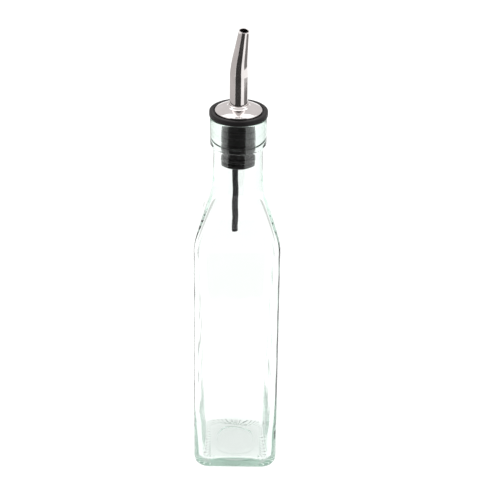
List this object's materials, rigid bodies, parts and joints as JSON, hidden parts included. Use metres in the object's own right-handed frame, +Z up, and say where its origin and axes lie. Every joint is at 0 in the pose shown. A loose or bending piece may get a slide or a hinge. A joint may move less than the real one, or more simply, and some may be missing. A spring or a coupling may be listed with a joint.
{
  "type": "oil and vinegar bottle",
  "caption": "Empty square clear glass bottle for oil or vinegar, with a black stopper, a bent steel pouring spout and a breather tube hanging inside.",
  "frame": {"origin": "middle of the underside, level with the flat ring that the bottle stands on", "axes": "+Z up along the neck, from the base to the spout; -Y towards the side that the spout leans to; +X to the right seen from that side"},
  "size_m": [0.046, 0.046, 0.2556],
  "materials": {
    "glass": "clear, with a faint green tint in thick places",
    "black_plastic": "moulded, satin",
    "polished_steel": "polished stainless steel",
    "black_tube": "satin"
  },
  "bodies": {
    "root": {"bottle": "glass", "stopper": "black_plastic", "cap_disc": "polished_steel", "spout": "polished_steel", "breather_tube": "black_tube"}
  },
  "joints": []
}
